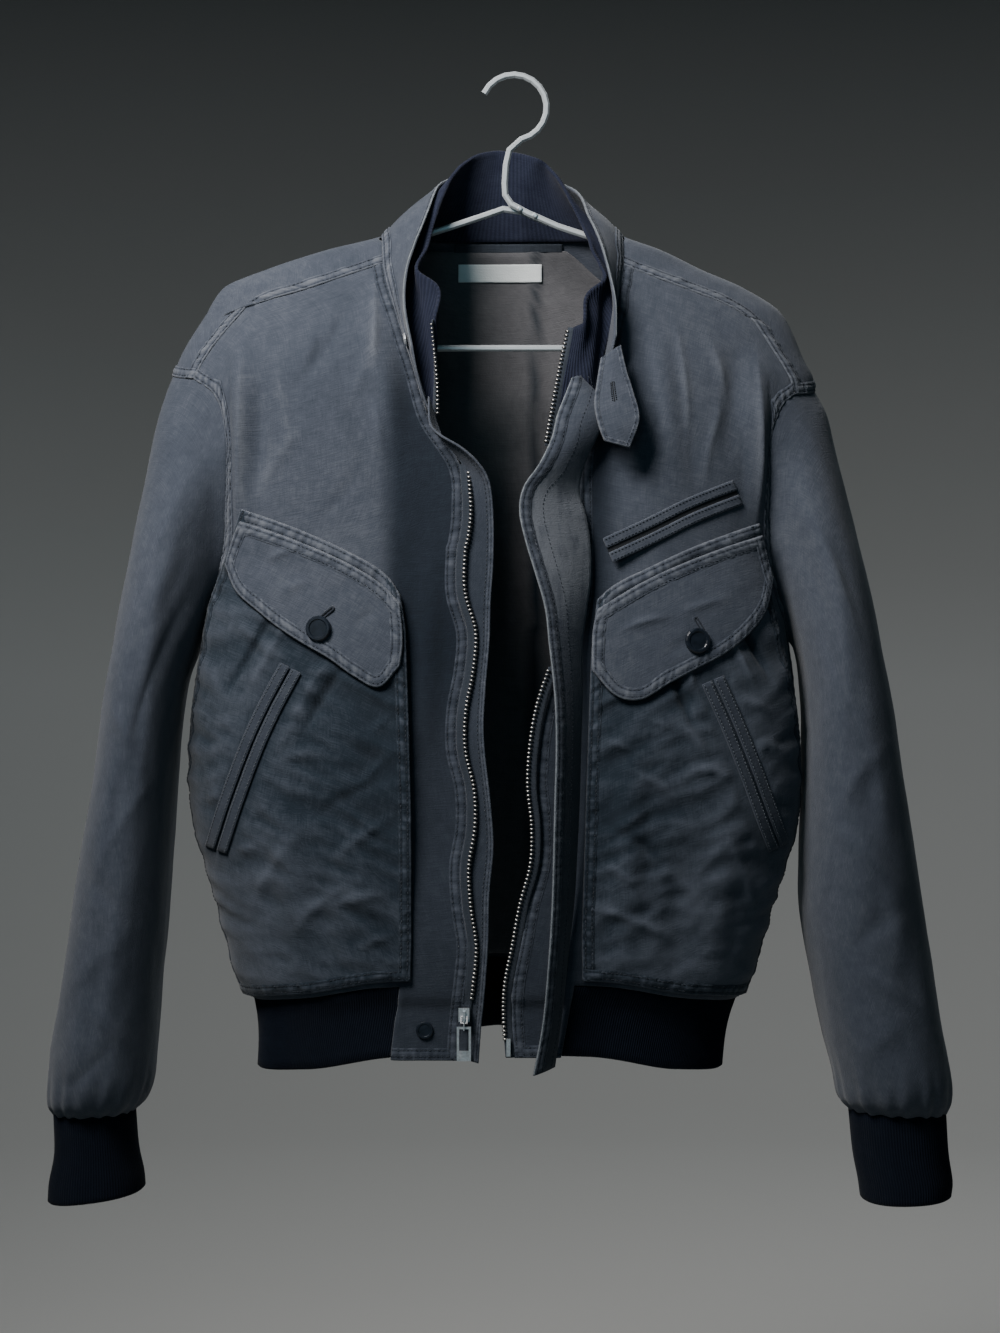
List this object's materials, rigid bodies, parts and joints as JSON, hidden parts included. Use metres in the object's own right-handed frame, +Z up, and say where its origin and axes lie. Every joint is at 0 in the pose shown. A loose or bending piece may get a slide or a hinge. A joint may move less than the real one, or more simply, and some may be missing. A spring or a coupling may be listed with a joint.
{
  "type": "bomber jacket on hanger",
  "caption": "Open-fronted bomber jacket with ribbed hem, cuffs and inner collar and angled flap pockets, on a bent-bar metal hanger.",
  "frame": {"origin": "inner top of the hanger's hook, where it hangs on a rail", "axes": "+Z up, -Y out of the jacket's front, +X towards the wearer's left side"},
  "size_m": [0.685, 0.1906, 0.8556],
  "materials": {
    "cloth": "garment-dyed cotton, worn light at the seams",
    "cloth_dark": "garment-dyed cotton",
    "rib": "rib knit",
    "tape": "woven tape",
    "lining": "plain lining",
    "label": "woven, blank",
    "button": "satin",
    "metal": "dull nickel",
    "hanger": "matt"
  },
  "bodies": {
    "jacket": {"yoke": "cloth", "back": "cloth", "front_r": "cloth", "front_l": "cloth", "sleeve_r": "cloth", "sleeve_l": "cloth", "cuff_r": "rib", "cuff_l": "rib", "hem_band": "rib", "knit_collar": "rib", "collar": "cloth", "throat_tab": "cloth", "placket_r": "cloth", "placket_l": "cloth", "patch_r": "cloth_dark", "patch_l": "cloth_dark", "flap_r": "cloth", "flap_l": "cloth", "welt_r_front": "cloth", "welt_r_back": "cloth", "welt_l_front": "cloth", "welt_l_back": "cloth", "chest_welt_upper": "cloth", "chest_welt_lower": "cloth", "zip_r": "tape", "zip_l": "tape", "neck_zip_r": "tape", "neck_zip_l": "tape", "neck_tape": "tape", "lining_back": "lining", "label": "label", "button_r": "button", "button_l": "button", "button_hem": "button", "stud_collar": "metal", "zip_slider": "metal", "zip_crown": "metal", "zip_ring_a": "metal", "zip_ring_b": "metal", "zip_box": "metal", "zip_pin": "metal", "hanger_hook": "hanger", "hanger_bar": "hanger", "rivet_a": "metal", "rivet_b": "metal"},
    "pull": {"zip_pull": "metal"}
  },
  "joints": [
    {"name": "pull_swing", "type": "hinge", "parent": "jacket", "child": "pull", "pos_m": [-0.03705, -0.08825, -0.71196], "axis": [-1, 0, 0], "range_deg": [-8, 150]}
  ]
}
